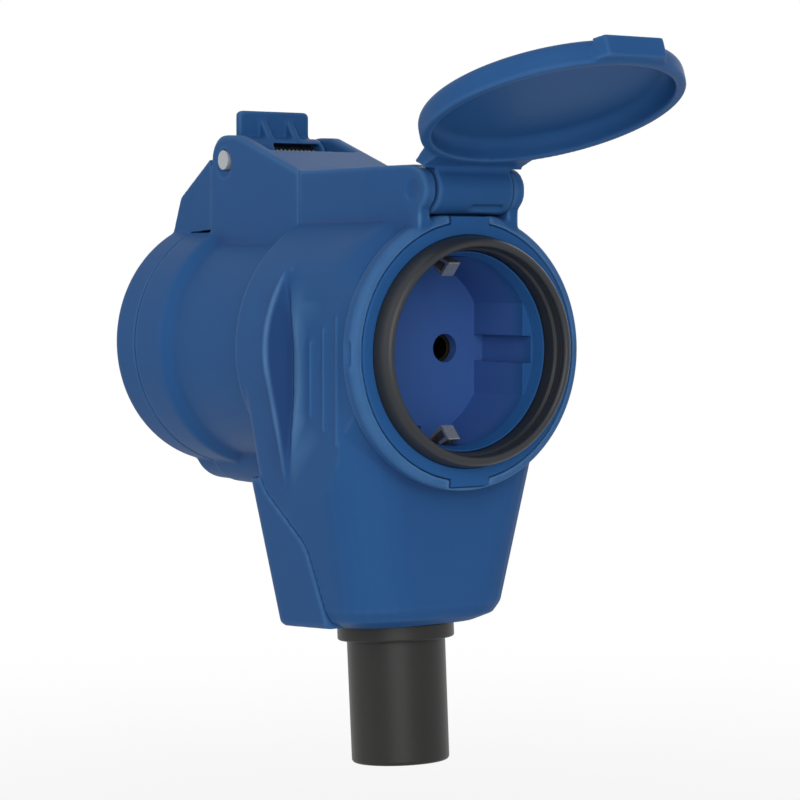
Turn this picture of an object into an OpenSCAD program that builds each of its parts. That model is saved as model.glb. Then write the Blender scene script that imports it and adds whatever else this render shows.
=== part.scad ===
// Angled pin and sleeve coupler: a three pole coupling mouth under a sprung lid at the rear,
// a round two pin outlet under a flap lid at the front, and a cable boot below.
// X runs across, Y from the outlet back to the coupling mouth, Z up.
// The origin is on the outlet axis, in the front face of the ring.

/* [Outlet] */
// Radius of the recess that takes the plug
outlet_r = 19.9; // [19.6:0.1:20.1]
// Depth of the recess floor behind the ring face
outlet_depth = 22.5; // [21.5:0.5:23]
// Distance between the two pin holes
pin_pitch = 19; // [18.6:0.1:19.4]
// Radius of a pin hole
pin_hole_r = 3.1; // [2.7:0.1:3.2]
// Outer radius of the front ring
ring_r = 29.1; // [28.8:0.1:29.6]
// How far the rubber seal stands out of the ring face
seal_proud = 4.4; // [4.2:0.1:4.5]

/* [Outlet lid] */
// Outer radius of the lid
lid_r = 26.8; // [26.7:0.1:27.2]
// Depth of the lid's skirt, rim to back
lid_depth = 5.4; // [5.4:0.1:5.8]
// Angle at which the lid stands open
lid_open = 109.5; // [100:0.5:118]
// Radius of the hinge barrel
barrel_r = 5.1; // [4.9:0.1:5.3]
// Radius of the hinge pin
lid_pin_r = 1.5; // [1.2:0.1:1.8]

/* [Body] */
// Wall thickness of the housings
wall = 2.4; // [2:0.1:2.6]
// Radius of the drum
drum_r = 30.5; // [30.2:0.1:31]
// Half width between the flat grips on the drum
grip_half = 25.2; // [25.2:0.1:25.8]
// Half width of the skirt at its foot
foot_half = 20.2; // [19.8:0.2:21]
// Distance from the outlet axis down to the foot
foot_drop = 59.5; // [58.5:0.5:60.5]
// Half width of the block on top
block_half = 14; // [13.8:0.1:14.2]

/* [Coupling mouth] */
// Outer radius of the collar
collar_r = 29; // [28.8:0.1:29.4]
// Outer radius of the neck in front of the collar
neck_r = 26.8; // [26.6:0.1:27]
// Radius of the bore that takes the plug's shroud
shroud_r = 24.7; // [24.5:0.1:24.8]
// Outer radius of the contact carrier's nose
nose_r = 21.4; // [21:0.1:21.6]
// Radius of the circle on which the contacts stand
pitch_r = 11.5; // [11.2:0.1:11.8]
// Bore radius of the line and neutral sleeves
pole_r = 2.55; // [2.5:0.01:2.6]
// Bore radius of the earth sleeve
earth_r = 3.55; // [3.5:0.01:3.6]

/* [Rear lid] */
// Radius of the rear hinge pin
rear_pin_r = 2.2; // [2:0.1:2.4]
// Half width of the thumb tab
tab_half = 9.4; // [9:0.1:9.6]
// Height of the thumb tab above the hinge pin
tab_rise = 11.5; // [11:0.1:12]

/* [Cable boot] */
// Radius of the boot's sleeve
boot_r = 10.7; // [10.5:0.1:10.8]
// Length of the boot below the foot
boot_len = 30; // [28:0.5:34]
// Radius of the cable bore
cable_r = 5.5; // [4.5:0.1:6]
// Forward lean of the boot and slope of the foot
boot_lean = 4; // [3:0.5:4.5]

/* [Hidden] */
$fn = 64;

// Colours
blue = [0.14, 0.29, 0.49];
navy = [0.12, 0.20, 0.42];
rubber = [0.13, 0.13, 0.13];
brass = [0.72, 0.58, 0.30];
nickel = [0.72, 0.72, 0.70];
white = [0.85, 0.85, 0.82];

// Clearances
run_fit = 0.05;
seat = 0.1;
move_gap = 0.4;
seam_gap = 0.2;

// Overlap of joined solids, reach of a cut past the body, thickness of a hull's end plate
lap = 1;
reach = 60;
skin = 0.01;

// Fillets
edge = 1.8;
soft = 0.8;
fine = 0.5;

// Stations along the outlet axis
ring_t = 4;
flange_t = 5;
front_wall_end = flange_t + wall + seam_gap;
rim_y = 2;
groove_y = 3.2;
floor_t = 2.5;
cup_end = outlet_depth + floor_t;
seam_y = 44.5;
shelf_y = seam_y + 1.5;
carrier_y = shelf_y + 3;
base_len = 7;
base_end = carrier_y + base_len;
nose_len = 33;
nose_end = base_end + nose_len;
flare_y = 77;
flare_run = 3.4;
flare_round = 3;
collar_end = 91.8;
lip_len = 2;
lip_t = 1.1;
rear_lid_gap = 0.25;
rear_lid_y = collar_end + rear_lid_gap;

// Outlet insert
cup_r = outlet_r + 2.4;
seal_in_r = outlet_r + 1;
seal_r = seal_in_r + 3.4;
flange_r = seal_r + 2.5;
key_half = 4.8;
key_r = flange_r + 1.2;
rim_flare = 0.7;
rim_run = 3;
flat_x = outlet_r - 2.6;
flat_y = 4.9;
groove_half = 2.9;
groove_d = 2.2;
slot_half = 3.2;
slot_d = 3.2;

// Seal lip
lip_in = 0.6;
lip_taper = 0.8;
lip_round = 0.9;
lip_step_y = -1.4;

// Earth clips
clip_half = 1.5;
clip_lip = [3, 0.4];
clip_bend = 1.6;
clip_crest = [2.2, 3.8];
clip_foot = [9, 0.4];
clip_leg = 1.2;
clip_t = 0.7;
clip_y = flat_y + 1.3;
clip_back = cup_end + 0.8;

// Ring and drum
ring_neck = 1.4;
drum_run = 6;
drum_round = 6;
slit_half = 2.6;
slit_t = 0.8;
slit_d = 0.7;

// Flat grips
grip_from = ring_t + 0.6;
pad_end = 27.2;
pad_edge = 29.9;
pad_lean = 15;
grip_end = 30.9;
step_past = 2.7;
step_out = drum_r - grip_half + step_past;
step_run = 1.6;
dip_d = 1.5;
dip_r = 112;
dip_z = -4.7;
rib_count = 3;
rib_first = 11.6;
rib_pitch = 5;
rib_r = 0.7;
rib_half = 13.6;
rib_less = 2.8;
rib_mid = -5.8;

// Outlet lid hinge and block
hinge_y = 2.6;
hinge_z = 33.5;
ear_t = 2.8;
ear_taper = 1.3;
ear_out = block_half - ear_taper;
ear_in = ear_out - ear_t;
ear_r = barrel_r - 0.45;
taper_end = 18;
post_y = 0.3;
post_foot = 15;
barrel_half = ear_in - move_gap;
well_r = barrel_r + move_gap;
well_floor = hinge_z - well_r + 1.6;
block_top = hinge_z + barrel_r;
pin_recess = 0.4;
pin_recess_r = lid_pin_r + 0.6;
pin_skin = 0.5;

// Outlet lid
lid_rim_y = -move_gap;
lid_wall = 2.2;
lid_back = 1;
lid_back_y = lid_rim_y - lid_depth;
lid_floor_y = lid_back_y + lid_back;
lid_round = 2.6;
lid_tab_half = 7;
lid_tab_out = 1.2;
lid_tab_flare = 1.8;
lid_arm_half = ear_out - 0.1;
lid_arm_in = 5;
lid_arm_root = lid_r - lid_arm_in;
lid_arm_top = hinge_z - 2.5;
lid_arm_y = lid_rim_y - 0.3;
lid_arm_back = lid_back_y + 1.4;
lid_floor_round = 2.4;
notch = [[-0.5, -8, -6], [7.6, -2.4, -3.1]];

// Rear hinge block
rear_pin_y = 76.4;
rear_pin_z = 41.8;
head_r = 5.7;
rear_ear_t = 2.8;
rear_ear_in = block_half - rear_ear_t;
arm_gap = 0.2;
arm_set = 0.25;
arm_half = block_half - arm_set;
ear_back = rear_pin_y + head_r + 0.6;
ear_top = rear_pin_z - 1;
slope_y = 70.4;
slope_lift = 5.4;
slope_z = rear_pin_z + slope_lift;
slope_foot = seam_y + fine;
slope_round = 4;
well_y = 60;
well_z = 34;
room_back = 4;
room_end = well_y - room_back;
pin_mark = 0.7;
pin_mark_drop = 0.9;
pin_proud = 0.2;

// Rear lid
arm_y = ear_back + arm_gap;
arm_z = 26;
arm_slot = 0.6;
arm_root_z = 15;
arm_knee_in = 4.7;
arm_knee_drop = 8.1;
arm_knee = [rear_lid_y + arm_knee_in, rear_pin_z - arm_knee_drop];
arm_heel_z = 24;
arm_round = 3;
arm_top = 0.6;
knuckle_half = rear_ear_in - move_gap;
knuckle_r = 5.4;
rear_lid_t = 10;
rear_lid_round = 2.4;
rear_lid_step = 2;
cap_wall = 2.4;
cap_floor = 2.4;
gasket_y = rear_lid_y + 3;
gasket_w = 3.3;
tab_t = 2;
tab_x = 0.3;
tab_y = rear_pin_y + 1;
tab_round = 1.2;
gusset_t = 1.8;
gusset_at = [-2.8, 4.2];
gusset_run = 4.9;
gusset_rise = 3;

// Rear lid spring
spring_from = -2.5;
spring_to = 9.5;
spring_slot = 4;
wire_r = 0.5;
wire_sides = 8;
coil_gap = 0.5;
coil_r = rear_pin_r + wire_r + coil_gap;
coil_turns = 10;
coil_steps = 16;
coil_start = 200;
spring_reach = 8;

// Key lobe under the collar
lobe_r = 9;
lobe_z = -24.2;
lobe_less = 0.3;
keyway_r = 6.4;

// Skirt: half widths, front and rear faces, corner radii and the rounded foot
boot_y = 27.6;
foot_z = -foot_drop;
skirt_top_z = -6;
skirt_top_half = drum_r - 0.6;
skirt_front_top = 5;
skirt_front_foot = 9;
skirt_front_r = 11;
skirt_rear_r = 4;
skirt_from = boot_y - 3.6;
shelf_z = -28;
skirt_rear_top = seam_y + 3.5;
skirt_rear_foot = seam_y + 0.7;
front_foot = [[0, 4], [1.2, 1.6], [4.4, 0]];
rear_foot = [[0, 0.8], [0.8, 0]];

// Parting line of the housings below the drum
seam_rise = [39.5, 29, 18];
seam_in = 4;
seam_round = [14, 6, 8];
seam_knee = [seam_y, foot_z + seam_rise[0], seam_round[0]];
seam_hip = [seam_y - seam_in, foot_z + seam_rise[1], seam_round[1]];
seam_shin = [boot_y - seat, foot_z + seam_rise[2], seam_round[2]];
seam_toe_in = 6.1;
seam_toe_drop = 10;
seam_toe = [boot_y - seam_toe_in, foot_z - seam_toe_drop];

// Contacts
entry_t = 2;
entry_gap = 0.2;
sleeve_wall = 1.1;
contact_run = 13;
contact_end = cup_end + contact_run;
contact_wall = 1.2;
contact_r = 2.4;
contact_floor = 2;
split_t = 0.8;
strap_t = 1.4;
strap_half = 2.6;
strap_end = 3;
terminal_y = contact_end + 2;
terminal_r = 4.4;
terminal_len = 8;
terminal_screw_r = 1.6;
earth_strap_half = 1.5;
seal_t = 2.5;

// Fasteners
screw_r = 1.5;
pilot_r = 1.2;
head_screw_r = 2.8;
head_h = 1.8;
cross_len = 3.2;
cross_w = 0.8;
cross_d = 1;
tip_gap = 0.5;
boss_r = 3.4;
housing_screw_x = 16.5;
housing_screw_drop = 5;
housing_screw = [housing_screw_x, shelf_z - housing_screw_drop];
housing_screw_y = seam_y;
housing_screw_len = 22;
carrier_screw = [16.6, -9.5];
carrier_screw_len = base_end - shelf_y - 2;
shelf_hole_r = pitch_r + terminal_r + 0.7;
clamp_out = 5.5;
clamp_lift = 16.5;
clamp_at = [cable_r + clamp_out, foot_z + clamp_lift];
clamp_t = 3;
clamp_over = 4;
clamp_half = clamp_at[0] + clamp_over;
clamp_rise = 3.6;
clamp_back = boot_y + (clamp_at[1] - foot_z) * tan(boot_lean) - cable_r - move_gap;
clamp_y = clamp_back - clamp_t;
clamp_screw_len = 13;

// Cable boot
lip_out = 2.2;
lip_gap = 0.2;
boot_lip_z = wall + 1.2;
boot_lip_t = 3;
boot_flange_t = 3.4;
boot_flange_out = 2;
boot_taper = 0.1;

// Contact places on the pitch circle, seen from the outlet end
line_at = [pitch_r * cos(30), pitch_r * sin(30)];
neutral_at = [-pitch_r * cos(30), pitch_r * sin(30)];
earth_at = [0, -pitch_r];

// Helpers

function unit(v) = v / norm(v);

// Arc that rounds the corner q between p and s by the radius in q[2]
function corner(p, q, s, steps = 6) =
    let(a = unit([p[0] - q[0], p[1] - q[1]]), b = unit([s[0] - q[0], s[1] - q[1]]))
    let(half = acos(max(-1, min(1, a * b))) / 2, r = q[2])
    let(c = [q[0], q[1]] + unit(a + b) * r / sin(half))
    let(from = [q[0], q[1]] + a * r / tan(half) - c, to = [q[0], q[1]] + b * r / tan(half) - c)
    let(start = atan2(from[1], from[0]), turn0 = atan2(to[1], to[0]) - start)
    let(turn = turn0 > 180 ? turn0 - 360 : turn0 < -180 ? turn0 + 360 : turn0)
    [for (i = [0:steps]) c + r * [cos(start + turn * i / steps), sin(start + turn * i / steps)]];

// Outline of points [x, y] or [x, y, corner radius]
function rounded(points) =
    let(n = len(points))
    [for (i = [0:n - 1])
        each len(points[i]) > 2 && points[i][2] > 0
            ? corner(points[(i + n - 1) % n], points[i], points[(i + 1) % n])
            : [[points[i][0], points[i][1]]]];

// Outline of a strip of thickness t along the points of a path
function strip(path, t) =
    let(n = len(path))
    let(dir = [for (i = [0:n - 2]) unit(path[i + 1] - path[i])])
    let(side = [for (i = [0:n - 1])
        let(d = i == 0 ? dir[0] : i == n - 1 ? dir[n - 2] : unit(dir[i - 1] + dir[i]))
        let(k = i == 0 || i == n - 1 ? 1 : 1 / (d * dir[i]))
        [-d[1], d[0]] * k * t / 2])
    concat([for (i = [0:n - 1]) path[i] + side[i]],
           [for (i = [n - 1:-1:0]) path[i] - side[i]]);

// Turns a solid drawn along Z to lie along Y or X
module along_y(y) translate([0, y, 0]) rotate([-90, 0, 0]) children();
module along_x(x) translate([x, 0, 0]) rotate([0, 90, 0]) children();

// Round solid along Y from its outline of [radius, y]
module turned(points) along_y(0) rotate_extrude() polygon(rounded(points));

// Solid of an outline in Y and Z between two stations across
module slab(x0, x1, points)
    translate([x0, 0, 0]) rotate([90, 0, 90]) linear_extrude(x1 - x0) polygon(rounded(points));

module rod_y(r, y0, y1, x = 0, z = 0) translate([x, 0, z]) along_y(y0) cylinder(r = r, h = y1 - y0);
module rod_x(r, x0, x1, y, z) translate([0, y, z]) along_x(x0) cylinder(r = r, h = x1 - x0);

module box(from, to) translate(from) cube(to - from);

module both_sides() {
    children();
    mirror([1, 0, 0]) children();
}

// Flat plate of a rounded plan, front corners wide and rear corners tight
module plan(half, front, rear, front_r, rear_r, z)
    translate([0, 0, z]) linear_extrude(skin)
        polygon(rounded([[-half, front, front_r], [half, front, front_r],
                         [half, rear, rear_r], [-half, rear, rear_r]]));

// Housings

// Parting line between the housings, from top to foot, moved back by d
function seam(d) = [
    [seam_y + d, 2 * reach], seam_knee + [d, 0, 0], seam_hip + [d, 0, 0],
    seam_shin + [d, 0, 0], seam_toe + [d, 0]
];

module front_zone()
    slab(-reach, reach, concat(seam(-seam_gap / 2), [[-reach, seam_toe[1]], [-reach, 2 * reach]]));
module rear_zone()
    slab(-reach, reach, concat(seam(seam_gap / 2), [[2 * reach, seam_toe[1]], [2 * reach, 2 * reach]]));

// Half width of the skirt at a height
function skirt_half(z) =
    foot_half + (skirt_top_half - foot_half) * (z - foot_z) / (skirt_top_z - foot_z);

// Places a level plate in the sloped foot, or that high above it
module on_foot(rise)
    translate([0, boot_y, foot_z + rise]) rotate([-boot_lean, 0, 0]) translate([0, -boot_y, 0]) children();

// Skirt from the drum's sides down to the sloped foot, thinned by inset
module front_skirt(inset) hull() {
    plan(skirt_top_half - inset, skirt_front_top + inset, seam_y - inset,
         skirt_front_r - inset, skirt_rear_r - inset, skirt_top_z);
    for (cut = front_foot)
        on_foot(cut[1] + inset)
            plan(foot_half - cut[0] - inset, skirt_front_foot + cut[0] + inset, seam_y - cut[0] - inset,
                 skirt_front_r - inset, skirt_rear_r - inset, 0);
}

// Rear of the skirt, squarer at the foot
module rear_skirt(inset) hull() {
    plan(skirt_half(shelf_z) - inset, skirt_from, skirt_rear_top - inset,
         soft, skirt_rear_r - inset, shelf_z - inset);
    for (cut = rear_foot)
        on_foot(cut[1] + inset)
            plan(foot_half - cut[0] - inset, skirt_from, skirt_rear_foot - cut[0] - inset,
                 soft, skirt_rear_r - inset, 0);
}

module body_round() turned([
    [0, 0], [ring_r, 0, edge], [ring_r, ring_t, fine], [ring_r - ring_neck, ring_t + fine, fine],
    [drum_r, ring_t + drum_run, drum_round], [drum_r, seam_y, soft], [neck_r, seam_y],
    [neck_r, flare_y, flare_round], [collar_r, flare_y + flare_run, flare_round],
    [collar_r, collar_end, soft], [0, collar_end]
]);

// Flat grip on the side: a level face, the step behind it and a groove for a finger before the step,
// moved inward by inset
module grip_cut(inset) both_sides() {
    translate([0, 0, foot_z]) linear_extrude(2 * foot_drop)
        polygon([[grip_half - inset, grip_from - inset], [grip_half - inset, grip_end + inset / 2],
                 [grip_half + step_out, grip_end + step_run + inset],
                 [grip_half + 1.5 * step_out, grip_from - inset]]);
    translate([grip_half - dip_d + dip_r, 0, dip_z])
        along_y(pad_edge - inset) cylinder(r = dip_r + inset, h = grip_end - pad_edge + 1.5 * inset);
    translate([grip_half - inset, pad_end, dip_z]) rotate([0, 0, pad_lean]) translate([dip_r, 0, 0])
        along_y(0) cylinder(r = dip_r, h = (pad_edge - pad_end) / cos(pad_lean));
}

// Thin upright ribs on the flat grip
module grip_ribs() both_sides()
    for (i = [0:rib_count - 1])
        translate([grip_half, rib_first + i * rib_pitch, rib_mid - rib_half + i * rib_less])
            cylinder(r = rib_r, h = 2 * (rib_half - i * rib_less), $fn = 16);

// Block on top, tapered to the ears of the outlet lid
module front_block() {
    linear_extrude(block_top)
        polygon([[-ear_out, hinge_y], [ear_out, hinge_y], [block_half, taper_end], [block_half, seam_y],
                 [-block_half, seam_y], [-block_half, taper_end]]);
    both_sides() {
        rod_x(ear_r, ear_in, ear_out, hinge_y, hinge_z);
        slab(ear_in, ear_out, [[post_y, post_foot], [hinge_y + lap, post_foot],
                               [hinge_y + lap, hinge_z], [post_y, hinge_z]]);
    }
}

// Room for the lid's barrel and its arm
module lid_well() {
    rod_x(well_r, -ear_in, ear_in, hinge_y, hinge_z);
    box([-ear_in, -reach, well_floor], [ear_in, hinge_y, reach]);
    box([-ear_in, hinge_y - lap, hinge_z], [ear_in, hinge_y + well_r, reach]);
}

// Bore of the outlet lid's pin, closed at the left behind a shallow mark
module lid_pin_bore() {
    rod_x(lid_pin_r + run_fit, -ear_out + pin_recess + pin_skin, block_half, hinge_y, hinge_z);
    both_sides() rod_x(pin_recess_r, ear_out - pin_recess, block_half, hinge_y, hinge_z);
}

module rear_block() {
    slab(-block_half, block_half, [
        [seam_y - lap, 0], [ear_back, 0], [ear_back, ear_top, soft], [rear_pin_y, ear_top],
        [rear_pin_y, rear_pin_z + head_r], [slope_y, slope_z, slope_round],
        [slope_foot, block_top, slope_round], [seam_y - lap, block_top]
    ]);
    both_sides() rod_x(head_r, rear_ear_in, block_half, rear_pin_y, rear_pin_z);
}

// Room between the rear ears for the knuckle, the thumb tab and the spring
module rear_well() {
    box([-rear_ear_in, well_y, well_z], [rear_ear_in, 2 * reach, 2 * reach]);
    box([-rear_ear_in, rear_pin_y, arm_z - arm_slot], [rear_ear_in, 2 * reach, 2 * reach]);
    box([-reach, ear_back, arm_z - arm_slot], [reach, 2 * reach, 2 * reach]);
}

// Hollow of the two housings
module hollow() difference() {
    inner = drum_r - wall;
    throat = shroud_r - 2;
    union() {
        turned([[0, front_wall_end], [inner - edge, front_wall_end], [inner, front_wall_end + 2 * edge],
                [inner, seam_y - wall], [throat, seam_y - wall], [throat, shelf_y], [0, shelf_y]]);
        box([wall - block_half, hinge_y + well_r + wall, 0], [block_half - wall, room_end, block_top - wall]);
        front_skirt(wall);
        rear_skirt(wall);
    }
    grip_cut(wall);
    rod_y(neck_r + edge, shelf_y, flare_y);
}

// Plug room of the coupling mouth, with its keyway
module mouth() {
    out = collar_end + lip_len + lap;
    rod_y(shelf_hole_r, shelf_y - lap, carrier_y + lap);
    rod_y(nose_r + seat, carrier_y, out);
    rod_y(shroud_r, base_end - seat, out);
    rod_y(keyway_r, base_end, out, 0, lobe_z);
}

// Seat of the boot in the foot, along the boot's own axis
module on_boot() translate([0, boot_y, foot_z]) rotate([-boot_lean, 0, 0]) children();

module boot_seat() on_boot() {
    translate([0, 0, -boot_len]) cylinder(r = boot_r + seat, h = boot_len + boot_lip_z);
    translate([0, 0, boot_lip_z - lip_gap])
        cylinder(r = boot_r + lip_out + lip_gap, h = boot_lip_t + 2 * lip_gap);
}

// Posts inside the housings that the long screws join
// Bar of the cord clamp, with a gap all round and room for the heads of its screws
module clamp_bar(gap, heads)
    box([-clamp_half - gap, clamp_y - heads - gap, clamp_at[1] - clamp_rise - gap],
        [clamp_half + gap, clamp_back + gap, clamp_at[1] + clamp_rise + gap]);

module screw_post(y0, y1) both_sides() rod_y(boss_r, y0, y1, housing_screw[0], housing_screw[1]);

module front_housing() color(blue) difference() {
    intersection() {
        union() {
            difference() {
                union() {
                    body_round();
                    front_skirt(0);
                    front_block();
                }
                hollow();
                grip_cut(0);
            }
            grip_ribs();
            difference() {
                intersection() {
                    screw_post(skirt_front_top, seam_y);
                    front_skirt(seam_gap);
                }
                clamp_bar(move_gap, head_h);
            }
        }
        front_zone();
    }
    lid_well();
    rod_y(flange_r + seat, -lap, flange_t);
    rod_y(cup_r + seat, -lap, front_wall_end + lap);
    box([-key_half - seat, -lap, -key_r - seat], [key_half + seat, flange_t, key_r + seat]);
    both_sides() {
        rod_y(pilot_r, housing_screw_y - housing_screw_len - tip_gap, seam_y,
              housing_screw[0], housing_screw[1]);
        box([ring_r - slit_d, edge - slit_t / 2, -slit_half], [ring_r + lap, edge + slit_t / 2, slit_half]);
    }
    lid_pin_bore();
    boot_seat();
}

module rear_housing() color(blue) difference() {
    union() {
        intersection() {
            union() {
                difference() {
                    union() {
                        body_round();
                        rod_y(lobe_r, seam_y - lap, collar_end, 0, lobe_z);
                        front_skirt(0);
                        rear_skirt(0);
                        rear_block();
                    }
                    hollow();
                }
                screw_post(skirt_from, seam_y);
                rod_y(shroud_r + lip_t, collar_end - lap, collar_end + lip_len);
            }
            rear_zone();
        }
        both_sides() rod_y(boss_r, clamp_back + seat, seam_y, clamp_at[0], clamp_at[1]);
    }
    mouth();
    rear_well();
    rod_x(rear_pin_r + run_fit, -reach, reach, rear_pin_y, rear_pin_z);
    both_sides() {
        rod_x(rear_pin_r + pin_mark, block_half - pin_mark, reach, rear_pin_y, rear_pin_z - pin_mark_drop);
        rod_y(screw_r + seat, skirt_from, reach, housing_screw[0], housing_screw[1]);
        rod_y(head_screw_r + seam_gap, housing_screw_y, reach, housing_screw[0], housing_screw[1]);
        rod_y(pilot_r, clamp_back, clamp_y + clamp_screw_len + tip_gap, clamp_at[0], clamp_at[1]);
        rod_y(screw_r + seat, shelf_y - lap, carrier_y + lap, carrier_screw[0], carrier_screw[1]);
    }
    boot_seat();
}

// Cross headed screw along Y with the seat of its head at y, pointing along dir
module screw(x, y, z, length, dir) translate([x, y, z]) rotate([-90 * dir, 0, 0]) difference() {
    union() {
        translate([0, 0, -head_h]) cylinder(r = head_screw_r, h = head_h);
        translate([0, 0, -skin]) cylinder(r = pilot_r - run_fit, h = length);
    }
    for (turn = [0, 90])
        rotate([0, 0, turn])
            translate([-cross_len / 2, -cross_w / 2, -head_h - lap])
                cube([cross_len, cross_w, lap + cross_d]);
}

module housing_screws() color(nickel) for (side = [-1, 1])
    screw(side * housing_screw[0], housing_screw_y + seat, housing_screw[1], housing_screw_len, -1);

// Outlet

module outlet_insert() color(navy) difference() {
    union() {
        turned([[0, 0], [flange_r, 0, fine], [flange_r, flange_t - seat], [0, flange_t - seat]]);
        rod_y(cup_r, flange_t - lap, cup_end);
        box([-key_half, 0, -key_r], [key_half, flange_t - seat, key_r]);
    }
    difference() {
        turned([[0, -lap], [seal_r, -lap], [seal_r, groove_y], [seal_in_r, groove_y], [seal_in_r, rim_y],
                [outlet_r + rim_flare, rim_y], [outlet_r, rim_y + rim_run], [outlet_r, outlet_depth],
                [0, outlet_depth]]);
        both_sides() difference() {
            box([flat_x, flat_y, -outlet_r], [cup_r, outlet_depth + lap, outlet_r]);
            box([0, flat_y - lap, -groove_half], [flat_x + groove_d, outlet_depth + 2 * lap, groove_half]);
        }
    }
    both_sides() rod_y(pin_hole_r, outlet_depth - lap, cup_end + lap, pin_pitch / 2);
    for (side = [-1, 1]) scale([1, 1, side])
        box([-slot_half, clip_y - lap, outlet_r - slot_d], [slot_half, cup_end + lap, cup_r + lap]);
}

module outlet_seal() color(rubber) turned([
    [seal_r - seat, groove_y - seat], [seal_r - seat, 0], [seal_r - lip_taper, -seal_proud, lip_round],
    [seal_in_r + lip_in, -seal_proud, lip_round], [seal_in_r + lip_in, lip_step_y],
    [seal_in_r + seat, lip_step_y + fine], [seal_in_r + seat, groove_y - seat]
]);

// Earth clips: one bent strip behind the cup, with an arm through each slot
module earth_bracket() color(nickel) {
    arm = [[clip_y + clip_lip[0], outlet_r - clip_lip[1]], [clip_y, outlet_r - clip_bend],
           [clip_y + clip_crest[0], outlet_r - clip_crest[1]],
           [clip_y + clip_foot[0], outlet_r + clip_foot[1]], [clip_back, outlet_r + clip_leg]];
    other = [for (i = [len(arm) - 1:-1:0]) [arm[i][0], -arm[i][1]]];
    slab(-clip_half, clip_half, strip(concat(arm, other), clip_t));
}

// Split tube that grips one plug pin
module pin_clip(x) color(brass) difference() {
    rod_y(contact_r + contact_wall, cup_end + seat, contact_end, x);
    rod_y(contact_r, cup_end, contact_end - contact_floor, x);
    box([x - split_t / 2, cup_end, -reach], [x + split_t / 2, contact_end - 2 * contact_floor, reach]);
}

module outlet_line_contact() pin_clip(pin_pitch / 2);
module outlet_neutral_contact() pin_clip(-pin_pitch / 2);

// Arm of the flap lid, up to a height, wedge shaped towards the barrel
module lid_arm(half, top) intersection() {
    slab(-half, half, [
        [lid_arm_y, lid_arm_root], [lid_arm_y, hinge_z - barrel_r, fine],
        [hinge_y - 2, hinge_z - barrel_r + fine], [hinge_y, hinge_z], [hinge_y - 3, hinge_z + 4],
        [lid_arm_back, lid_r], [lid_arm_back, lid_arm_root]
    ]);
    box([-half, -reach, 0], [half, reach, top]);
}

// The flap lid as it lies when shut
module lid_shut() difference() {
    union() {
        turned([[0, lid_rim_y], [0, lid_back_y], [lid_r, lid_back_y, lid_round], [lid_r, lid_rim_y, fine]]);
        rod_x(barrel_r, -barrel_half, barrel_half, hinge_y, hinge_z);
        lid_arm(barrel_half, reach);
        difference() {
            lid_arm(lid_arm_half, lid_arm_top);
            both_sides() rod_x(well_r, barrel_half, block_half, hinge_y, hinge_z);
        }
        translate([0, lid_rim_y - fine, 0]) rotate([90, 0, 0]) linear_extrude(lid_depth - 2 * fine) polygon([
            [-lid_tab_half - lid_tab_flare, lid_wall / 2 - lid_r], [-lid_tab_half, -lid_r - lid_tab_out],
            [lid_tab_half, -lid_r - lid_tab_out], [lid_tab_half + lid_tab_flare, lid_wall / 2 - lid_r]]);
    }
    turned([[0, lid_rim_y + lap], [0, lid_floor_y], [lid_r - lid_wall, lid_floor_y, lid_floor_round],
            [lid_r - lid_wall, lid_rim_y + lap]]);
    rod_x(lid_pin_r + run_fit, -block_half, block_half, hinge_y, hinge_z);
}

// The flap lid standing open, with the notch in the front of its barrel
module outlet_lid() color(blue) translate([0, hinge_y, hinge_z]) difference() {
    rotate([-lid_open, 0, 0]) translate([0, -hinge_y, -hinge_z]) lid_shut();
    box(notch[0], notch[1]);
}

module outlet_lid_pin() color(nickel)
    rod_x(lid_pin_r, -ear_out + pin_recess + pin_skin + seat, ear_out - pin_recess, hinge_y, hinge_z);

// Rear lid and its spring

module rear_lid() color(blue) difference() {
    back = rear_lid_y + rear_lid_t;
    union() {
        turned([[0, rear_lid_y], [collar_r, rear_lid_y, rear_lid_gap],
                [collar_r, back, rear_lid_round], [0, back]]);
        rod_y(lobe_r - lobe_less, rear_lid_y, back - rear_lid_step, 0, lobe_z);
        slab(-arm_half, arm_half, [
            [arm_y, arm_z], [rear_lid_y, arm_z - fine], [rear_lid_y, arm_root_z], [back - lap, arm_root_z],
            [back - lap, arm_heel_z, arm_round], concat(arm_knee, [arm_round]), [arm_y, rear_pin_z + arm_top]
        ]);
        slab(-knuckle_half, knuckle_half, [
            [rear_pin_y, rear_pin_z - 2], [arm_y + lap, arm_z + 4], [arm_y + lap, rear_pin_z - 2],
            [rear_pin_y + 2, rear_pin_z + knuckle_r - fine], [rear_pin_y, rear_pin_z + knuckle_r]
        ]);
        rod_x(knuckle_r, -knuckle_half, knuckle_half, rear_pin_y, rear_pin_z);
        thumb_tab();
    }
    rod_y(collar_r - cap_wall, rear_lid_y - lap, back - cap_floor);
    rod_x(rear_pin_r + run_fit, -reach, reach, rear_pin_y, rear_pin_z);
    spring_room();
}

// Upright tab with two gussets in front of it
module thumb_tab() {
    top = rear_pin_z + tab_rise;
    foot = rear_pin_z + gusset_rise;
    translate([tab_x, tab_y + tab_t, 0]) rotate([90, 0, 0]) linear_extrude(tab_t)
        polygon(rounded([[-tab_half, foot], [tab_half, foot],
                         [tab_half, top, tab_round], [-tab_half, top, tab_round]]));
    for (x = gusset_at)
        slab(x - gusset_t / 2, x + gusset_t / 2,
             [[tab_y + fine, foot], [tab_y - gusset_run, foot + fine], [tab_y + fine, top - lap]]);
}

module spring_room() {
    span = [spring_from - move_gap, spring_to + move_gap];
    rod_x(coil_r + wire_r + move_gap, span[0], span[1], rear_pin_y, rear_pin_z);
    box([span[0], rear_pin_y - spring_reach, rear_pin_z - spring_reach],
        [span[1], rear_pin_y + lap, rear_pin_z + spring_slot]);
}

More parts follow.
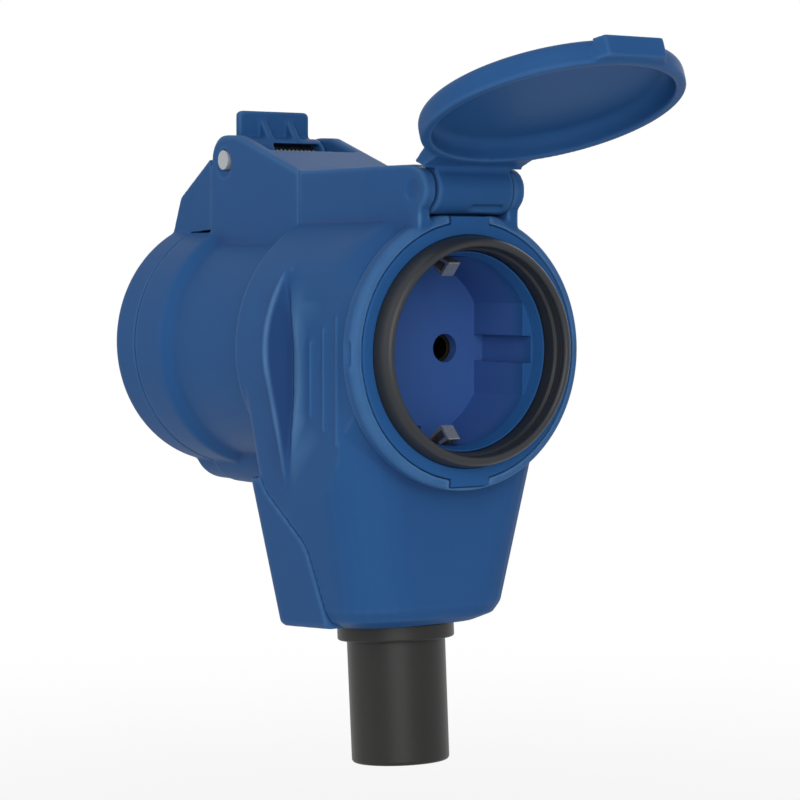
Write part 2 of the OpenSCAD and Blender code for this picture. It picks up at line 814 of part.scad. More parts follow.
module rear_lid_gasket() color(rubber) difference() {
    rod_y(collar_r - cap_wall - seat, gasket_y, rear_lid_y + rear_lid_t - cap_floor - skin);
    rod_y(collar_r - cap_wall - gasket_w, gasket_y - lap, rear_lid_y + rear_lid_t);
}

module rear_lid_pin() color(nickel)
    rod_x(rear_pin_r, -block_half - pin_proud, block_half + pin_proud, rear_pin_y, rear_pin_z);

// Round wire along the points of a path that keeps square to X
module wire(path, r) {
    n = len(path);
    ring = [for (i = [0:n - 1])
        let(t = unit(path[min(i + 1, n - 1)] - path[max(i - 1, 0)]))
        let(u = unit(cross(t, [1, 0, 0])), v = cross(t, u))
        for (k = [0:wire_sides - 1])
            path[i] + r * (u * cos(360 * k / wire_sides) + v * sin(360 * k / wire_sides))];
    side = [for (i = [0:n - 2]) for (k = [0:wire_sides - 1])
        let(a = i * wire_sides + k, b = i * wire_sides + (k + 1) % wire_sides)
        [a, b, b + wire_sides, a + wire_sides]];
    first = [for (k = [wire_sides - 1:-1:0]) k];
    last = [for (k = [0:wire_sides - 1]) (n - 1) * wire_sides + k];
    polyhedron(ring, concat([first], side, [last]));
}

// Torsion spring round the rear pin
module rear_lid_spring() color(nickel) {
    steps = coil_steps * coil_turns;
    coil = [for (i = [0:steps])
        let(a = coil_start + 360 * i / coil_steps)
        [spring_from + wire_r + (spring_to - spring_from - 2 * wire_r) * i / steps,
         rear_pin_y + coil_r * cos(a), rear_pin_z + coil_r * sin(a)]];
    wire(coil, wire_r);
}

// Coupling mouth

module contact_carrier() color(white) difference() {
    turned([[0, carrier_y + seat], [nose_r, carrier_y + seat], [nose_r, nose_end, soft], [0, nose_end]]);
    for (at = [line_at, neutral_at]) pole_hole(at, pole_r);
    pole_hole(earth_at, earth_r);
    both_sides()
        rod_y(pilot_r, carrier_y, shelf_y + carrier_screw_len + tip_gap, carrier_screw[0], carrier_screw[1]);
}

// Stepped hole that holds one sleeve behind its entry
module pole_hole(at, r) {
    rod_y(r + sleeve_wall + seat, carrier_y, nose_end - entry_t, at[0], at[1]);
    rod_y(r + entry_gap, nose_end - entry_t - lap, nose_end + lap, at[0], at[1]);
}

module carrier_screws() color(nickel) for (side = [-1, 1])
    screw(side * carrier_screw[0], shelf_y - seat, carrier_screw[1], carrier_screw_len, 1);

// Sleeve contact with its terminal at the inner end
module sleeve(at, r, up) color(brass) difference() {
    union() {
        rod_y(r + sleeve_wall, terminal_y + terminal_len / 2, nose_end - entry_t - seat, at[0], at[1]);
        rod_y(terminal_r, terminal_y, terminal_y + terminal_len, at[0], at[1]);
    }
    rod_y(r, carrier_y, nose_end, at[0], at[1]);
    on_terminal(at, up) cylinder(r = terminal_screw_r, h = terminal_r + lap);
}

// Places a screw across the middle of a terminal, pointing up or down
module on_terminal(at, up)
    translate([at[0], terminal_y + terminal_len / 2, at[1]]) rotate([up ? 0 : 180, 0, 0]) children();

module line_sleeve() sleeve(line_at, pole_r, true);
module neutral_sleeve() sleeve(neutral_at, pole_r, true);
module earth_sleeve() sleeve(earth_at, earth_r, false);

module terminal_screws() color(nickel)
    for (pole = [[line_at, true], [neutral_at, true], [earth_at, false]])
        on_terminal(pole[0], pole[1]) translate([0, 0, seat]) difference() {
            cylinder(r = terminal_screw_r - run_fit, h = terminal_r + lap);
            translate([-terminal_r, -cross_w / 2, terminal_r]) cube([2 * terminal_r, cross_w, 2 * lap]);
        }

// Flat link from a pin clip up to the terminal behind it
module link(x, at) color(brass)
    slab(x - strap_half, x + strap_half,
         [[contact_end + seat, -strap_end, fine], [contact_end + strap_t, -strap_end, fine],
          [contact_end + strap_t, at[1] + strap_end, fine], [contact_end + seat, at[1] + strap_end, fine]]);

module line_busbar() link(pin_pitch / 2, line_at);
module neutral_busbar() link(-pin_pitch / 2, neutral_at);

module earth_busbar() color(brass)
    box([-strap_half, clip_back + clip_t / 2 + seat, earth_at[1] - earth_strap_half],
        [strap_half, terminal_y - seat, earth_at[1] + earth_strap_half]);

module coupling_seal() color(rubber) difference() {
    rod_y(shroud_r - seat, base_end, base_end + seal_t);
    rod_y(nose_r + seat, base_end - lap, base_end + seal_t + lap);
}

// Cable entry

module cable_boot() color(rubber) on_boot() difference() {
    rotate_extrude() polygon(rounded([
        [0, boot_lip_z + boot_lip_t], [boot_r + lip_out, boot_lip_z + boot_lip_t, fine],
        [boot_r + lip_out, boot_lip_z], [boot_r, boot_lip_z], [boot_r, -seat],
        [boot_r + boot_flange_out, -seat], [boot_r + boot_flange_out, -boot_flange_t, fine],
        [boot_r, -boot_flange_t], [boot_r - boot_taper, -boot_len, soft], [0, -boot_len]
    ]));
    translate([0, 0, -boot_len - lap]) cylinder(r = cable_r, h = boot_len + reach);
}

module cord_clamp() color(white) difference() {
    clamp_bar(0, 0);
    both_sides() rod_y(screw_r + seat, clamp_y - lap, clamp_back + lap, clamp_at[0], clamp_at[1]);
}

module clamp_screws() color(nickel) for (side = [-1, 1])
    screw(side * clamp_at[0], clamp_y - seat, clamp_at[1], clamp_screw_len, 1);

front_housing();
rear_housing();
housing_screws();
outlet_insert();
outlet_seal();
earth_bracket();
outlet_line_contact();
outlet_neutral_contact();
outlet_lid();
outlet_lid_pin();
rear_lid();
rear_lid_gasket();
rear_lid_pin();
rear_lid_spring();
contact_carrier();
carrier_screws();
line_sleeve();
neutral_sleeve();
earth_sleeve();
terminal_screws();
line_busbar();
neutral_busbar();
earth_busbar();
coupling_seal();
cable_boot();
cord_clamp();
clamp_screws();
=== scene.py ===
"""Looks of an angled pin and sleeve coupler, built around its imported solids."""

import math

import bpy
import numpy as np
from mathutils import Matrix, Vector


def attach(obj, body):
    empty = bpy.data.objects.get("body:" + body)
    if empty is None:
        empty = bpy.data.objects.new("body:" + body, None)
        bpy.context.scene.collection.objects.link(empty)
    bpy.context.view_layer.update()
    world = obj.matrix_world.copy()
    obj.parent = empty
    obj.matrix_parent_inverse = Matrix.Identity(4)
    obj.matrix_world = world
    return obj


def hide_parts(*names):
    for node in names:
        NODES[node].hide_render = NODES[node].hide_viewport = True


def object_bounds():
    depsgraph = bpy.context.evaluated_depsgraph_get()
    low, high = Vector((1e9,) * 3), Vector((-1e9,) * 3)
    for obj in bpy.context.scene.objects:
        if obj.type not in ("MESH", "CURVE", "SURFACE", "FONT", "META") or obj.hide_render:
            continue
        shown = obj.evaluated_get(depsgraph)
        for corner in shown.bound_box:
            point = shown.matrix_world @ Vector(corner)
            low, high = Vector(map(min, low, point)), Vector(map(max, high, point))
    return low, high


bl_info = {
    "name": "Angled coupler looks",
    "version": (1, 0, 0),
    "blender": (4, 5, 0),
    "location": "View3D > Sidebar > Coupler",
    "description": "Soft-edged housings and lids, seal, boot and metal of a coupler, on its stage",
    "category": "Object",
}

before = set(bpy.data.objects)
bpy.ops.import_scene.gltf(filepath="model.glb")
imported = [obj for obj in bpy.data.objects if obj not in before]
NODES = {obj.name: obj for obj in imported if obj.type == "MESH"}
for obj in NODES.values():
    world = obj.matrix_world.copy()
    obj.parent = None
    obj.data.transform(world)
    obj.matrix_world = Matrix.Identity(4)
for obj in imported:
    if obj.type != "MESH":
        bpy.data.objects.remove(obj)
CAD_BOX = [list(corner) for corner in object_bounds()]
MM = 0.001

# The photograph's camera: turn and tilt in degrees, offset from the origin to its own right, up
# and back, lens and sensor in millimetres, nearest and farthest distance in metres
CAMERA_TURN = -34.43
CAMERA_TILT = 3.02
CAMERA_OFFSET = (-14.58, -10.0, 539.31)
CAMERA_LENS = 117.0
CAMERA_SENSOR = 36.0
CAMERA_CLIP = (0.01, 100.0)

# Point that the lamps look at, then each lamp's width and its offset from that point to the
# camera's right, up and back, in metres
LIT_POINT = Vector((0, 0.03, 0))
LAMPS = {
    "key": (0.9, (0.05, 0.2, 1.0)),
    "fill": (0.9, (-0.95, 0.3, 0.15)),
    "rear": (1.0, (0.35, 0.45, -1.0)),
}

# Floor: width, the run over which its shadow fades in metres, how white it is shown at both ends of
# that run, and its two greys
FLOOR_SIZE = 30
FLOOR_FADE = (0.1, 0.5)
FLOOR_WHITE = (0.8, 1.0)
FLOOR_GREYS = ((0.84, 0.84, 0.84), (0.88, 0.88, 0.88))

# Zones of both sides in millimetres, with X as a distance: lowest and highest corner, then the
# widths of the borders at those corners. They are where the flat grips run out into the drum, the
# grips' rear edges with a painted reflection, the steps behind these with painted shade, and the
# rims of the steps and of the outlet's ring with a painted highlight.
GRIP_TOP = ((19, 3.5, 7), (40, 29.5, 33), (4, 4, 4), (4, 4, 4))
GRIP_EDGE_REFLECTION = ((20, 24.2, -28), (25.6, 30.1, 15), (1, 3.4, 10), (0.2, 0.3, 12))
GRIP_STEP_SHADE = ((22, 30, -30), (33, 34, 17), (1, 0.4, 10), (4, 1.5, 10))
STEP_RIM_HIGHLIGHT = ((24, 31.2, -36), (34, 36, 20), (1, 0.4, 8), (1, 1, 4))
RING_RIM_HIGHLIGHT = ((-1, -0.6, -31), (31, 2.4, 29), (1, 0.2, 1), (1, 0.8, 1))

# Joints whose edges stay crisp, as lines in the YZ plane in millimetres
SEAM = (((44.5, 40), (44.5, -20)), ((44.5, -20), (40.5, -30.5)),
        ((40.5, -30.5), (27.5, -41.5)), ((27.5, -41.5), (21.5, -69.5)))
REAR_JOINTS = (((82.8, 25), (82.8, 41)), ((82.8, 25.7), (92, 25.7)), ((91.9, 25.7), (91.9, -36)))
RING_JOINT = (((4.4, 32), (4.4, -32)),)

# Smoothing: width kept crisp beside a joint and the run to full smoothing in millimetres, the
# least share that is smoothed, steps of the weights, share of each pass, and the distance in
# metres at which vertices are doubles
CRISP_CORE = 0.35
CRISP_RUN = 1.2
CRISP_LEAST = 0.1
WEIGHT_STEPS = 10
PASS_SHARE = 0.5
DOUBLES = 1e-6

# Paler edges (partly worn, partly painted highlight) and painted shade in hollows, by how far
# smoothing moves a vertex: where each starts and the run to its full tone in millimetres, and how
# much paler the rims (painted highlight) and strips (painted reflection) are than plain edges
EDGE_START, EDGE_RUN = 0.02, 0.1
HOLLOW_START, HOLLOW_RUN = 0.08, 0.6
RIM_HIGHLIGHT_GAIN = 1.6
STRIP_REFLECTION = 3.4

# Outlet seal's section in millimetres as radius and Y: outer wall, nose, lip grooves and bore
SEAL_PROFILE = (
    (24.2, 3.1), (24.2, -0.1), (23.85, -2.4),
    (23.6, -3.5), (23.2, -4.1), (22.65, -4.38), (22.2, -4.36), (21.8, -4.05), (21.6, -3.5),
    (21.75, -3.1), (21.55, -2.8), (21.72, -2.4), (21.52, -2.1), (21.68, -1.75), (21.5, -1.45),
    (21.05, -1.0), (21.05, 3.1), (24.2, 3.1))
SEAL_SIDES = 160
SEAL_ROUND = 0.12
SEAL_ROUND_ANGLE = math.radians(20)
SEAL_CREASE_ANGLE = math.radians(35)

# Depth over which the insert takes on the lighter recess blue, painted light deep in the outlet, in
# millimetres along Y
RECESS_RUN = (4, 10)

# Sockets of the Mix node that carry its factor, its two colours and its mixed colour
MIX_FACTOR, MIX_FIRST, MIX_SECOND, MIX_RESULT = 0, 6, 7, 2


def srgb(red, green, blue):
    """Scene colour of a display colour given in 0 to 255."""
    def line(value):
        share = value / 255
        return share / 12.92 if share <= 0.04045 else ((share + 0.055) / 1.055) ** 2.4
    return (line(red), line(green), line(blue))


def colour(label, text, value):
    """Colour property."""
    return bpy.props.FloatVectorProperty(
        name=label, description=text, subtype="COLOR", size=3, min=0, max=1, default=value)


def amount(label, text, value, low, high, **more):
    """Number property."""
    return bpy.props.FloatProperty(
        name=label, description=text, default=value, min=low, max=high, **more)


def count(label, text, value, low, high):
    """Whole number property."""
    return bpy.props.IntProperty(name=label, description=text, default=value, min=low, max=high)


class CouplerFinish(bpy.types.PropertyGroup):
    """Colours of the coupler's finishes"""
    housing: colour("Housing", "Moulded blue of housings and lids", srgb(40, 82, 133))
    # Paler edge tone: partly worn plastic, partly painted highlight on edges and rims, and painted
    # reflection on the grips' strips
    worn: colour("Edges", "Paler blue of rubbed outer edges", srgb(100, 145, 188))
    # Painted shade: darker blue mixed into hollows and the grips' steps, where shade falls
    hollow_shade: colour("Hollows", "Duller blue of sheltered hollows", srgb(36, 54, 102))
    insert: colour("Insert", "Blue of the outlet's insert", srgb(38, 84, 138))
    # Painted light: lighter blue that brightens the insert deep in the recess, where less light
    # reaches
    recess: colour("Recess", "Blue deep in the outlet's recess", srgb(60, 95, 158))
    seal: colour("Seal", "Soft rubber of the seals", srgb(38, 41, 45))
    boot: colour("Boot", "Firm rubber of the cable boot", srgb(34, 33, 32))
    plated: colour("Plated steel", "Clips, screws and the flap lid's pin", srgb(205, 205, 200))
    spring: colour("Spring steel", "Wire of the rear lid's spring", srgb(150, 149, 145))
    pin: colour("Hinge pin", "Pale pin of the rear lid", srgb(168, 173, 178))
    brass: colour("Brass", "Sleeves and busbars", srgb(196, 160, 88))
    # Painted shade: contacts coloured dark to stand in for the shade inside the pin holes
    contact: colour("Pin contacts", "Dark bronze of the outlet's contacts", srgb(58, 50, 40))
    carrier: colour("Carrier", "Pale grey of the contact carrier", srgb(190, 192, 190))


class CouplerForm(bpy.types.PropertyGroup):
    """Fineness of the coupler's soft edges"""
    housing_grid: amount("Housing grid", "Grid on which the housings' edges are softened",
                         0.36 * MM, 0.2 * MM, 2 * MM,
                         subtype="DISTANCE", unit="LENGTH", precision=5)
    lid_grid: amount("Lid grid", "Grid on which the lids' edges are softened",
                     0.28 * MM, 0.2 * MM, 2 * MM,
                     subtype="DISTANCE", unit="LENGTH", precision=5)
    passes: count("Passes", "Smoothing passes over the soft edges", 14, 0, 80)
    zone_passes: count("Blend passes", "Smoothing passes where forms run out", 500, 0, 800)
    edge_passes: count("Edge passes", "Smoothing passes that show the rubbed edges", 24, 1, 200)
    hollow_passes: count("Hollow passes", "Smoothing passes that show the hollows", 260, 1, 800)
    most: count("Most faces", "Triangles that a softened piece may keep", 180000, 10000, 200000)


class CouplerStage(bpy.types.PropertyGroup):
    """Light and floor"""
    key: amount("Key light", "Strength of the soft light beside the camera", 6.4, 0, 100,
                unit="POWER")
    fill: amount("Fill light", "Strength of the large light at the left", 1.5, 0, 100,
                 unit="POWER")
    rear: amount("Rear light", "Strength of the soft light behind the coupler", 2.4, 0, 100,
                 unit="POWER")
    sky: amount("Sky", "Strength of the even light all round", 0.42, 0, 2)
    floor_drop: amount("Floor drop", "Distance of the floor below the boot", 40 * MM, 0, 0.5,
                       subtype="DISTANCE", unit="LENGTH")


class Wire:
    """Output of a shader node; arithmetic on it adds Math nodes."""

    def __init__(self, tree, socket):
        self.tree = tree
        self.socket = socket

    def math(self, operation, first, second):
        node = self.tree.nodes.new("ShaderNodeMath")
        node.operation = operation
        for slot, value in zip(node.inputs, (first, second)):
            plug(self.tree, slot, value)
        return Wire(self.tree, node.outputs[0])

    def __add__(self, other):
        return self.math("ADD", self, other)

    def __radd__(self, other):
        return self.math("ADD", other, self)

    def __mul__(self, other):
        return self.math("MULTIPLY", self, other)

    def __rmul__(self, other):
        return self.math("MULTIPLY", other, self)


def plug(tree, slot, value):
    """Links a wire to a socket, or sets a plain value on it."""
    if isinstance(value, Wire):
        tree.links.new(value.socket, slot)
    elif slot.type == "RGBA":
        slot.default_value = (*value, 1)
    else:
        slot.default_value = value


def shade(value, share):
    """Colour made darker or lighter by a share."""
    return tuple(min(1.0, part * share) for part in value)


class Finish:
    """One material, made of shader nodes."""

    def __init__(self, name):
        self.material = bpy.data.materials.new(name)
        self.material.use_nodes = True
        self.tree = self.material.node_tree
        self.shader = self.tree.nodes["Principled BSDF"]
        self.place = self.node("ShaderNodeTexCoord", {}, {}, "Object")

    def node(self, kind, settings, sockets, out):
        """Adds a node, its settings first, then its socket values or links, and gives an output."""
        node = self.tree.nodes.new(kind)
        for name, value in settings.items():
            setattr(node, name, value)
        for name, value in sockets.items():
            plug(self.tree, node.inputs[name], value)
        return Wire(self.tree, node.outputs[out])

    def set(self, **sockets):
        """Feeds the shader's sockets and gives the finished material."""
        for name, value in sockets.items():
            plug(self.tree, self.shader.inputs[name.replace("_", " ")], value)
        return self.material

    def noise(self, size, detail=2.0, rough=0.5, stretch=None):
        """Soft noise from 0 to 1 with features of about that size."""
        place = self.place
        if stretch:
            place = self.node("ShaderNodeMapping", {}, {"Vector": place, "Scale": stretch},
                              "Vector")
        return self.node(
            "ShaderNodeTexNoise", {},
            {"Vector": place, "Scale": 1 / size, "Detail": detail, "Roughness": rough}, "Fac")

    def mix(self, factor, first, second):
        """Colour that goes from the first to the second as the factor rises."""
        return self.node("ShaderNodeMix", {"data_type": "RGBA"},
                         {MIX_FACTOR: factor, MIX_FIRST: first, MIX_SECOND: second}, MIX_RESULT)

    def tones(self, factor, value, low, high):
        """Colour that varies about its value, from a low to a high share of it."""
        return self.mix(factor, shade(value, low), shade(value, high))

    def ramp(self, value, start, end, **more):
        """Smooth rise from 0 to 1, or between other ends, as a value goes from start to end."""
        sockets = {"Value": value, "From Min": start, "From Max": end}
        sockets.update({name.replace("_", " "): level for name, level in more.items()})
        return self.node("ShaderNodeMapRange", {"interpolation_type": "SMOOTHSTEP"}, sockets,
                         "Result")

    def bump(self, height, depth, normal=None):
        """Normal raised by a height, over the plain or another normal."""
        sockets = {"Height": height, "Strength": 1.0, "Distance": depth}
        if normal:
            sockets["Normal"] = normal
        return self.node("ShaderNodeBump", {}, sockets, "Normal")

    def soft_edge(self, radius):
        """Normal that rounds edges by a radius."""
        return self.node("ShaderNodeBevel", {"samples": 8}, {"Radius": radius}, "Normal")


def moulded(name, value, rough, edge=0.0, wear_and_painted_light=None, deep=None):
    """Satin moulded plastic: spark grain, slow flow clouds, soft edges, edges partly worn and partly
    painted highlight, painted shade in hollows, painted light deep inside.
    """
    finish = Finish(name)
    cloud = finish.noise(26 * MM, detail=3.0, rough=0.55)
    flow = finish.noise(9 * MM, stretch=(1.0, 0.35, 1.0))
    grain = finish.noise(0.35 * MM, rough=0.6)
    tone = cloud * 0.6 + flow * 0.4
    spread = (0.93, 1.07)
    base = finish.tones(tone, value, *spread)
    if wear_and_painted_light:
        rubbed, sheltered = (
            finish.node("ShaderNodeAttribute", {"attribute_name": mark}, {}, "Fac")
            for mark in ("rubbed", "sheltered"))
        # Painted shade mixed into hollows and steps
        base = finish.mix(sheltered * (0.4 + 0.2 * cloud), base, wear_and_painted_light.hollow_shade)
        # Paler edge tone, partly worn and partly painted highlight
        base = finish.mix(rubbed * (0.08 + 0.14 * flow), base, wear_and_painted_light.worn)
    if deep:
        # Painted light: the lighter blue takes over deeper into the recess
        along = finish.node("ShaderNodeSeparateXYZ", {}, {"Vector": finish.place}, "Y")
        depth = finish.ramp(along, RECESS_RUN[0] * MM, RECESS_RUN[1] * MM)
        base = finish.mix(depth, base, finish.tones(tone, deep, *spread))
    normal = finish.soft_edge(edge) if edge else None
    return finish.set(
        Base_Color=base,
        Specular_IOR_Level=0.06,
        Roughness=rough - 0.05 + 0.08 * cloud + 0.04 * grain,
        Normal=finish.bump(grain, depth=0.012 * MM, normal=normal))


def rubber(name, value, rough, gloss):
    """Rubber with a fine matt skin and faint bloom."""
    finish = Finish(name)
    bloom = finish.noise(14 * MM, detail=4.0, rough=0.6)
    skin = finish.noise(0.5 * MM, detail=3.0, rough=0.65)
    return finish.set(
        Base_Color=finish.tones(bloom, value, low=0.86, high=1.18),
        Specular_IOR_Level=gloss,
        Roughness=rough - 0.06 + 0.1 * bloom + 0.05 * skin,
        Normal=finish.bump(skin, depth=0.02 * MM, normal=finish.soft_edge(0.3 * MM)))


def metal(name, value, rough, metallic=1.0):
    """Plated or bare metal with a slight haze and fine marks."""
    finish = Finish(name)
    haze = finish.noise(4 * MM, detail=3.0, rough=0.55)
    marks = finish.noise(0.25 * MM)
    return finish.set(
        Base_Color=finish.tones(haze, value, low=0.9, high=1.05),
        Metallic=metallic,
        Roughness=rough - 0.04 + 0.07 * haze + 0.06 * marks,
        Normal=finish.bump(marks, depth=0.006 * MM, normal=finish.soft_edge(0.15 * MM)))


def deselect():
    """Leaves edit mode and selects nothing."""
    if bpy.context.mode != "OBJECT":
        bpy.ops.object.mode_set(mode="OBJECT")
    bpy.ops.object.select_all(action="DESELECT")


def take(piece):
    """Makes one object the selected and active one."""
    deselect()
    piece.select_set(True)
    bpy.context.view_layer.objects.active = piece


def copy_of(thing):
    """Copy of an object with its own mesh, selected and active."""
    take(thing)
    bpy.ops.object.duplicate()
    return bpy.context.object


def apply_all(piece):
    """Applies a piece's modifiers in order."""
    take(piece)
    for modifier in list(piece.modifiers):
        bpy.ops.object.modifier_apply(modifier=modifier.name)


def dress(piece, body, slot, material, *nodes):
    """Gives a finished piece its material and body, and hides the nodes that it stands for; its slot
    is not used.
    """
    piece.data.materials.clear()
    piece.data.materials.append(material)
    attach(piece, body)
    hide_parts(*nodes)


def paint(material, *nodes):
    """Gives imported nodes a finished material."""
    for node in nodes:
        for slot in NODES[node].material_slots:
            slot.material = material


def crisp_weights(points, lines):
    """How far each point may be smoothed: little beside a line in the YZ plane, else fully."""
    weight = np.ones(len(points))
    flat = points[:, 1:]
    for start, end in lines:
        start, end = np.array(start) * MM, np.array(end) * MM
        along = end - start
        share = np.clip((flat - start) @ along / (along @ along), 0, 1)
        gap = np.linalg.norm(flat - start - share[:, None] * along, axis=1)
        free = np.clip((gap / MM - CRISP_CORE) / CRISP_RUN, CRISP_LEAST, 1)
        weight = np.minimum(weight, free)
    return weight


def zone_weights(points, zone):
    """One deep inside a zone, on both sides of the middle plane, and nothing at its border."""
    sides = np.abs(points) * (1, 0, 0) + points * (0, 1, 1)
    low, high, low_border, high_border = np.array(zone) * MM
    inside = np.minimum((sides - low) / low_border, (high - sides) / high_border)
    return np.clip(inside.min(axis=1), 0, 1)


def smooth(piece, weight, passes):
    """Smooths a dense mesh by passes, each vertex as far as its weight says."""
    level = np.round(weight * WEIGHT_STEPS).astype(int)
    group = piece.vertex_groups.new(name="soft")
    for step in range(1, WEIGHT_STEPS + 1):
        group.add(np.nonzero(level == step)[0].tolist(), step / WEIGHT_STEPS, "REPLACE")
    soft = piece.modifiers.new("soft", "SMOOTH")
    soft.factor = PASS_SHARE
    soft.iterations = passes
    soft.vertex_group = "soft"
    apply_all(piece)
    piece.vertex_groups.clear()


def places(mesh, kind="co"):
    """Places or normals of a mesh's vertices, one row each."""
    rows = np.empty(len(mesh.vertices) * 3)
    mesh.vertices.foreach_get(kind, rows)
    return rows.reshape(-1, 3)


def mark_wear_and_painted_light(piece, form, hollow_passes=0, rims=(), strips=(), steps=()):
    """Keeps on each vertex how pale its edges are, partly worn and partly painted highlight, from
    how far smoothing would sink them, more so on rims as painted highlight, and its painted shade in
    hollows from how far smoothing would raise them, with its strips of painted reflection and its
    steps of painted shade."""
    points, normals = places(piece.data), places(piece.data, "normal")
    worn = copy_of(piece)
    sunk = []
    for passes in (form.edge_passes, hollow_passes):
        smooth(worn, np.ones(len(points)), passes)
        sunk.append(((points - places(worn.data)) * normals).sum(axis=1) / MM)
    bpy.data.objects.remove(worn)
    # Paler edge tone, partly worn and partly painted highlight, where smoothing sinks a vertex
    rubbed = np.clip((sunk[0] - EDGE_START) / EDGE_RUN, 0, 1)
    # Rims get more of the paler tone as painted highlight
    for rim in rims:
        rubbed = rubbed * (1 + RIM_HIGHLIGHT_GAIN * zone_weights(points, rim))
    # Strips get the paler tone as painted reflection
    for strip in strips:
        rubbed = np.maximum(rubbed, STRIP_REFLECTION * zone_weights(points, strip))
    # Painted shade where smoothing raises a vertex, in hollows and on the given steps
    sheltered = np.clip((-sunk[1] - HOLLOW_START) / HOLLOW_RUN, 0, 1)
    for step in steps:
        sheltered = np.maximum(sheltered, zone_weights(points, step))
    for name, share in (("rubbed", rubbed), ("sheltered", sheltered)):
        mark = piece.data.attributes.new(name, "FLOAT", "POINT")
        mark.data.foreach_set("value", share)


def soft_copy(node, name, grid, form, lines, zones=()):
    """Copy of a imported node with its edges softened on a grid, but kept crisp along its joints."""
    piece = copy_of(NODES[node])
    piece.name = name
    piece.parent = None
    for key in list(piece.keys()):
        del piece[key]
    bpy.ops.object.mode_set(mode="EDIT")
    bpy.ops.mesh.select_all(action="SELECT")
    bpy.ops.mesh.remove_doubles(threshold=DOUBLES)
    bpy.ops.object.mode_set(mode="OBJECT")
    skin = piece.modifiers.new("skin", "REMESH")
    skin.mode = "VOXEL"
    skin.voxel_size = grid
    apply_all(piece)
    points = places(piece.data)
    crisp = crisp_weights(points, lines)
    smooth(piece, crisp, form.passes)
    for zone in zones:
        smooth(piece, crisp * zone_weights(points, zone), form.zone_passes)
    return piece


def thin_out(piece, form):
    """Brings a dense piece of quads down to the triangles that it may keep, smooth shaded."""
    fewer = piece.modifiers.new("fewer", "DECIMATE")
    fewer.ratio = min(1.0, form.most / (2 * len(piece.data.polygons)))
    apply_all(piece)
    bpy.ops.object.shade_smooth()


def lathe(name, profile, sides):
    """Round piece about the outlet axis: a ring of edges, extruded and resized along a profile of
    radius and Y in millimetres."""
    deselect()
    radius, place = profile[0]
    bpy.ops.mesh.primitive_circle_add(
        vertices=sides, radius=radius * MM, fill_type="NOTHING",
        location=(0, place * MM, 0), rotation=(math.pi / 2, 0, 0))
    piece = bpy.context.object
    piece.name = name
    bpy.ops.object.transform_apply(location=True, rotation=True, scale=True)
    bpy.ops.object.mode_set(mode="EDIT")
    bpy.ops.mesh.select_all(action="SELECT")
    for next_radius, next_place in profile[1:]:
        bpy.ops.mesh.extrude_edges_move(
            TRANSFORM_OT_translate={"value": (0, (next_place - place) * MM, 0)})
        share = next_radius / radius
        bpy.ops.transform.resize(
            value=(share, 1, share), center_override=(0, next_place * MM, 0))
        radius, place = next_radius, next_place
    bpy.ops.mesh.select_all(action="SELECT")
    bpy.ops.mesh.remove_doubles(threshold=DOUBLES)
    bpy.ops.mesh.normals_make_consistent(inside=False)
    bpy.ops.object.mode_set(mode="OBJECT")
    return piece


class COUPLER_OT_housings(bpy.types.Operator):
    """Makes both housings and both lids with soft moulded edges"""
    bl_idname = "coupler.housings"
    bl_label = "Housings and lids"
    bl_options = {"REGISTER", "UNDO"}

    def execute(self, context):
        finish, form = context.scene.coupler_finish, context.scene.coupler_form
        blue = moulded("satin_blue", finish.housing, rough=0.48, wear_and_painted_light=finish)
        front = soft_copy("front_housing", "front_shell", form.housing_grid, form,
                          SEAM + RING_JOINT, (GRIP_TOP,))
        mark_wear_and_painted_light(front, form, form.hollow_passes, rims=(RING_RIM_HIGHLIGHT, STEP_RIM_HIGHLIGHT),
                  strips=(GRIP_EDGE_REFLECTION,), steps=(GRIP_STEP_SHADE,))
        rear = soft_copy("rear_housing", "rear_shell", form.housing_grid, form,
                         SEAM + REAR_JOINTS)
        mark_wear_and_painted_light(rear, form, form.hollow_passes)
        flap = soft_copy("outlet_lid", "flap_shell", form.lid_grid, form, ())
        mark_wear_and_painted_light(flap, form)
        cap = soft_copy("rear_lid", "cap_shell", form.lid_grid, form, REAR_JOINTS)
        mark_wear_and_painted_light(cap, form)
        for piece, body, node in (
                (front, "coupler", "front_housing"), (rear, "coupler", "rear_housing"),
                (flap, "flap_lid", "outlet_lid"), (cap, "spring_lid", "rear_lid")):
            thin_out(piece, form)
            dress(piece, body, "housing_blue", blue, node)
        return {"FINISHED"}


class COUPLER_OT_outlet(bpy.types.Operator):
    """Makes the outlet's seal and finishes its insert, clips and pin contacts"""
    bl_idname = "coupler.outlet"
    bl_label = "Outlet"
    bl_options = {"REGISTER", "UNDO"}

    def execute(self, context):
        finish = context.scene.coupler_finish
        soft = rubber("seal_rubber", finish.seal, rough=0.42, gloss=0.35)
        seal = lathe("lip_seal", SEAL_PROFILE, SEAL_SIDES)
        bevel = seal.modifiers.new("round", "BEVEL")
        bevel.width = SEAL_ROUND * MM
        bevel.segments = 2
        bevel.limit_method = "ANGLE"
        bevel.angle_limit = SEAL_ROUND_ANGLE
        apply_all(seal)
        bpy.ops.object.shade_smooth_by_angle(angle=SEAL_CREASE_ANGLE)
        dress(seal, "coupler", "rubber_black", soft, "outlet_seal")
        # Insert with painted light deep in the recess
        paint(moulded("insert_blue", finish.insert, rough=0.4, edge=0.3 * MM, deep=finish.recess),
              "outlet_insert")
        paint(metal("plated_clip", finish.plated, rough=0.14, metallic=0.75), "earth_bracket")
        # Pin contacts coloured dark as painted shade of the pin holes
        paint(metal("dark_contact", finish.contact, rough=0.45),
              "outlet_line_contact", "outlet_neutral_contact")
        return {"FINISHED"}


